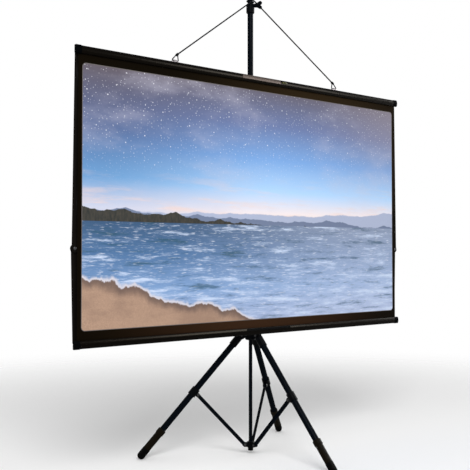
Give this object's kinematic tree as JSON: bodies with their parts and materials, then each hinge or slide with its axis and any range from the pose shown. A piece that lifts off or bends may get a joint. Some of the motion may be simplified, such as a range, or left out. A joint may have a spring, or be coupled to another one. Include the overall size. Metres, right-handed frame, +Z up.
{
  "type": "portable projection screen",
  "caption": "Portable projection screen with folding side struts, hung by a cord from a telescoping mast on a folding three-legged stand.",
  "frame": {"origin": "on the floor, under the middle of the whole object's box", "axes": "+Z up, +X along the screen to the right as the audience sees it, -Y towards the audience"},
  "size_m": [1.384, 0.5756, 1.5941],
  "materials": {
    "black_metal": "satin black coating",
    "black_aluminium": "black anodised, brushed along its length",
    "bright_steel": "bare bright steel",
    "black_plastic": "moulded, fine grain",
    "brown_plastic": "moulded, fine grain",
    "black_rubber": "matt rubber",
    "pale_plate": "satin",
    "vial": "clear yellow-green",
    "screen_cloth": "matt white with a black border",
    "cord": "braided black cord"
  },
  "bodies": {
    "tripod_base": {"lower_column": "black_metal", "leg_hub": "black_plastic", "hub_pins": "bright_steel", "lower_clamp": "black_plastic", "lower_clamp_bush": "black_plastic"},
    "centre_rod": {"centre_rod": "black_metal", "spreader_collar": "black_plastic", "spreader_rivets": "bright_steel", "rod_plug": "black_rubber"},
    "hub_knob": {"hub_knob": "black_plastic"},
    "lower_knob": {"lower_clamp_knob": "black_plastic"},
    "upper_knob": {"upper_clamp_knob": "black_plastic"},
    "mid_mast": {"mid_tube": "black_metal", "upper_clamp": "black_plastic", "upper_clamp_bush": "black_plastic", "hanger_rings": "black_metal", "cord_knots": "cord", "hanging_cord": "cord"},
    "top_mast": {"top_tube": "black_metal", "top_spigot": "bright_steel"},
    "screen": {"top_bar": "black_aluminium", "top_cap_left": "black_plastic", "top_cap_right": "black_plastic", "hanger_saddles": "bright_steel", "top_plate": "pale_plate", "level_vial": "vial", "screen_fabric": "screen_cloth", "hinge_pins": "bright_steel"},
    "bottom_bar": {"bottom_bar": "black_aluminium", "bottom_cap_left": "black_plastic", "bottom_cap_right": "black_plastic", "bottom_pad": "black_rubber"},
    "front_leg": {"front_leg_tube": "black_metal", "front_leg_socket": "black_plastic", "front_leg_bracket": "black_plastic", "front_bracket_rivet": "bright_steel", "front_foot_sleeve": "brown_plastic", "front_foot_tip": "black_rubber"},
    "front_strut": {"front_leg_strut": "black_metal"},
    "left_leg": {"left_leg_tube": "black_metal", "left_leg_socket": "black_plastic", "left_leg_bracket": "black_plastic", "left_bracket_rivet": "bright_steel", "left_foot_sleeve": "brown_plastic", "left_foot_tip": "black_rubber"},
    "left_strut": {"left_leg_strut": "black_metal"},
    "right_leg": {"right_leg_tube": "black_metal", "right_leg_socket": "black_plastic", "right_leg_bracket": "black_plastic", "right_bracket_rivet": "bright_steel", "right_foot_sleeve": "brown_plastic", "right_foot_tip": "black_rubber"},
    "right_strut": {"right_leg_strut": "black_metal"},
    "left_upper_link": {"left_upper_link": "black_metal", "left_elbow_rivet": "bright_steel"},
    "left_lower_link": {"left_lower_link": "black_metal"},
    "right_upper_link": {"right_upper_link": "black_metal", "right_elbow_rivet": "bright_steel"},
    "right_lower_link": {"right_lower_link": "black_metal"}
  },
  "joints": [
    {"name": "front_leg_fold", "type": "hinge", "parent": "tripod_base", "child": "front_leg", "pos_m": [0.00128, 0.05146, 0.3901], "axis": [0.9992, 0.0401, 0], "range_deg": [0, 39.69]},
    {"name": "front_strut_turn", "type": "hinge", "parent": "front_leg", "child": "front_strut", "pos_m": [0.00707, -0.09268, 0.19754], "axis": [0.9992, 0.0401, 0], "range_deg": [-82.77, 0]},
    {"name": "left_leg_fold", "type": "hinge", "parent": "tripod_base", "child": "left_leg", "pos_m": [-0.02833, 0.09831, 0.3901], "axis": [-0.4648, -0.8854, 0], "range_deg": [0, 39.69]},
    {"name": "left_strut_turn", "type": "hinge", "parent": "left_leg", "child": "left_strut", "pos_m": [-0.15606, 0.16537, 0.19754], "axis": [-0.4648, -0.8854, 0], "range_deg": [-82.77, 0]},
    {"name": "right_leg_fold", "type": "hinge", "parent": "tripod_base", "child": "right_leg", "pos_m": [0.02705, 0.10054, 0.3901], "axis": [-0.5344, 0.8453, 0], "range_deg": [0, 39.69]},
    {"name": "right_strut_turn", "type": "hinge", "parent": "right_leg", "child": "right_strut", "pos_m": [0.14899, 0.17763, 0.19754], "axis": [-0.5344, 0.8453, 0], "range_deg": [-82.77, 0]},
    {"name": "centre_rod_slide", "type": "slide", "parent": "tripod_base", "child": "centre_rod", "axis": [0, 0, -1], "range_m": [0, 0.1095]},
    {"name": "hub_knob_turn", "type": "hinge", "parent": "tripod_base", "child": "hub_knob", "pos_m": [-0.00096, 0.10742, 0.3837], "axis": [-0.0401, 0.9992, 0], "range_deg": [0, 270]},
    {"name": "lower_knob_turn", "type": "hinge", "parent": "tripod_base", "child": "lower_knob", "pos_m": [0, 0.10344, 1.113], "axis": [0, 1, 0], "range_deg": [0, 270]},
    {"name": "upper_knob_turn", "type": "hinge", "parent": "mid_mast", "child": "upper_knob", "pos_m": [0.0088, 0.0682, 1.4831], "axis": [0.5, -0.866, 0], "range_deg": [0, 270]},
    {"name": "mid_mast_slide", "type": "slide", "parent": "tripod_base", "child": "mid_mast", "axis": [0, 0, 1], "range_m": [0, 0.28]},
    {"name": "top_mast_slide", "type": "slide", "parent": "mid_mast", "child": "top_mast", "axis": [0, 0, 1], "range_m": [-0.04, 0.56]},
    {"name": "screen_swing", "type": "hinge", "parent": "mid_mast", "child": "screen", "pos_m": [0, 0.03124, 1.23945], "axis": [-1, 0, 0], "range_deg": [0, 25]},
    {"name": "screen_collapse", "type": "slide", "parent": "screen", "child": "bottom_bar", "axis": [0, 0, 1], "range_m": [0, 0.72], "deforming": ["screen_fabric"]},
    {"name": "left_upper_link_swing", "type": "hinge", "parent": "screen", "child": "left_upper_link", "pos_m": [-0.674, 0.03804, 1.2251], "axis": [0, -1, 0], "range_deg": [0, 86.1]},
    {"name": "left_lower_link_fold", "type": "hinge", "parent": "left_upper_link", "child": "left_lower_link", "pos_m": [-0.6805, 0.03804, 0.672], "axis": [0, 1, 0], "range_deg": [0, 175.1]},
    {"name": "right_upper_link_swing", "type": "hinge", "parent": "screen", "child": "right_upper_link", "pos_m": [0.674, 0.03804, 1.2251], "axis": [0, 1, 0], "range_deg": [0, 86.1]},
    {"name": "right_lower_link_fold", "type": "hinge", "parent": "right_upper_link", "child": "right_lower_link", "pos_m": [0.6805, 0.03804, 0.672], "axis": [0, -1, 0], "range_deg": [0, 175.1]}
  ],
  "couplings": [
    {"joint": "front_strut_turn", "follows": "front_leg_fold", "ratio": -2.085},
    {"joint": "left_leg_fold", "follows": "front_leg_fold", "ratio": 1},
    {"joint": "left_strut_turn", "follows": "front_leg_fold", "ratio": -2.085},
    {"joint": "right_leg_fold", "follows": "front_leg_fold", "ratio": 1},
    {"joint": "right_strut_turn", "follows": "front_leg_fold", "ratio": -2.085},
    {"joint": "centre_rod_slide", "follows": "front_leg_fold", "m_per_rad": 0.15794},
    {"joint": "left_upper_link_swing", "follows": "screen_collapse", "rad_per_m": 2.0847},
    {"joint": "left_lower_link_fold", "follows": "screen_collapse", "rad_per_m": 4.2421},
    {"joint": "right_upper_link_swing", "follows": "screen_collapse", "rad_per_m": 2.0847},
    {"joint": "right_lower_link_fold", "follows": "screen_collapse", "rad_per_m": 4.2421}
  ]
}
